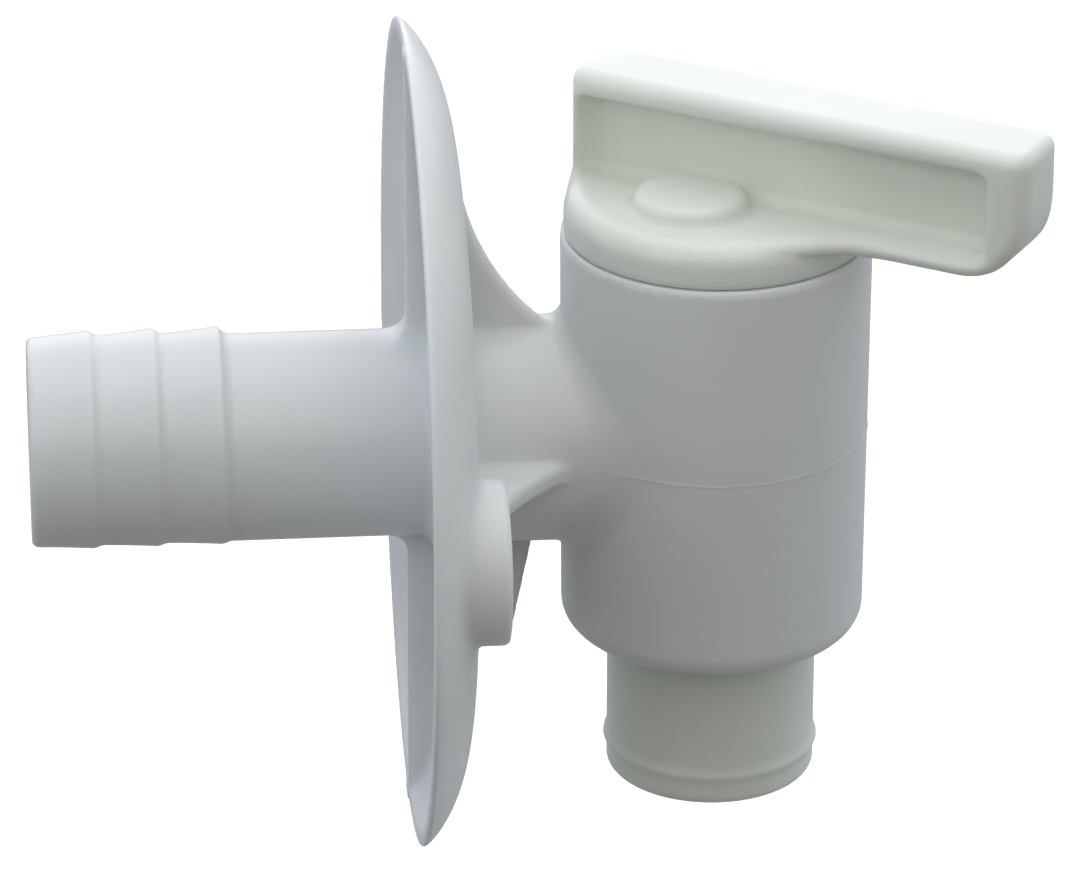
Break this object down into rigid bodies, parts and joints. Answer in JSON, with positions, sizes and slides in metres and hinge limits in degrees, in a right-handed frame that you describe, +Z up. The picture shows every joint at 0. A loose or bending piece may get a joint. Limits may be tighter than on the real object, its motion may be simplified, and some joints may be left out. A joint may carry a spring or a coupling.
{
  "type": "flanged drain tap",
  "caption": "Wall-mounted white plastic drain tap: barbed hose tail, round domed flange, upright barrel, quarter-turn lever handle and a spout underneath.",
  "frame": {"origin": "where the hose tail's axis meets the plane of the flange's back rim, which is the wall's surface", "axes": "+X out of the wall, from the hose tail to the barrel; +Z up, along the barrel to the handle; +Y level, along the wall"},
  "size_m": [0.0914, 0.0764, 0.0764],
  "materials": {
    "white_plastic": "cool white moulded plastic, satin",
    "ivory_plastic": "slightly green ivory moulded plastic, satin",
    "rubber": "black rubber, matt",
    "stainless": "stainless steel, plain"
  },
  "bodies": {
    "housing": {"valve_body": "white_plastic", "port_seal": "rubber"},
    "turning_group": {"plug": "ivory_plastic", "lower_o_ring": "rubber", "upper_o_ring": "rubber", "spout": "ivory_plastic", "handle": "ivory_plastic", "screw_washer": "rubber", "handle_screw": "stainless"}
  },
  "joints": [
    {"name": "handle_turn", "type": "hinge", "parent": "housing", "child": "turning_group", "pos_m": [0.02828, 0, 0], "axis": [0, 0, 1], "range_deg": [-58, 32]}
  ]
}
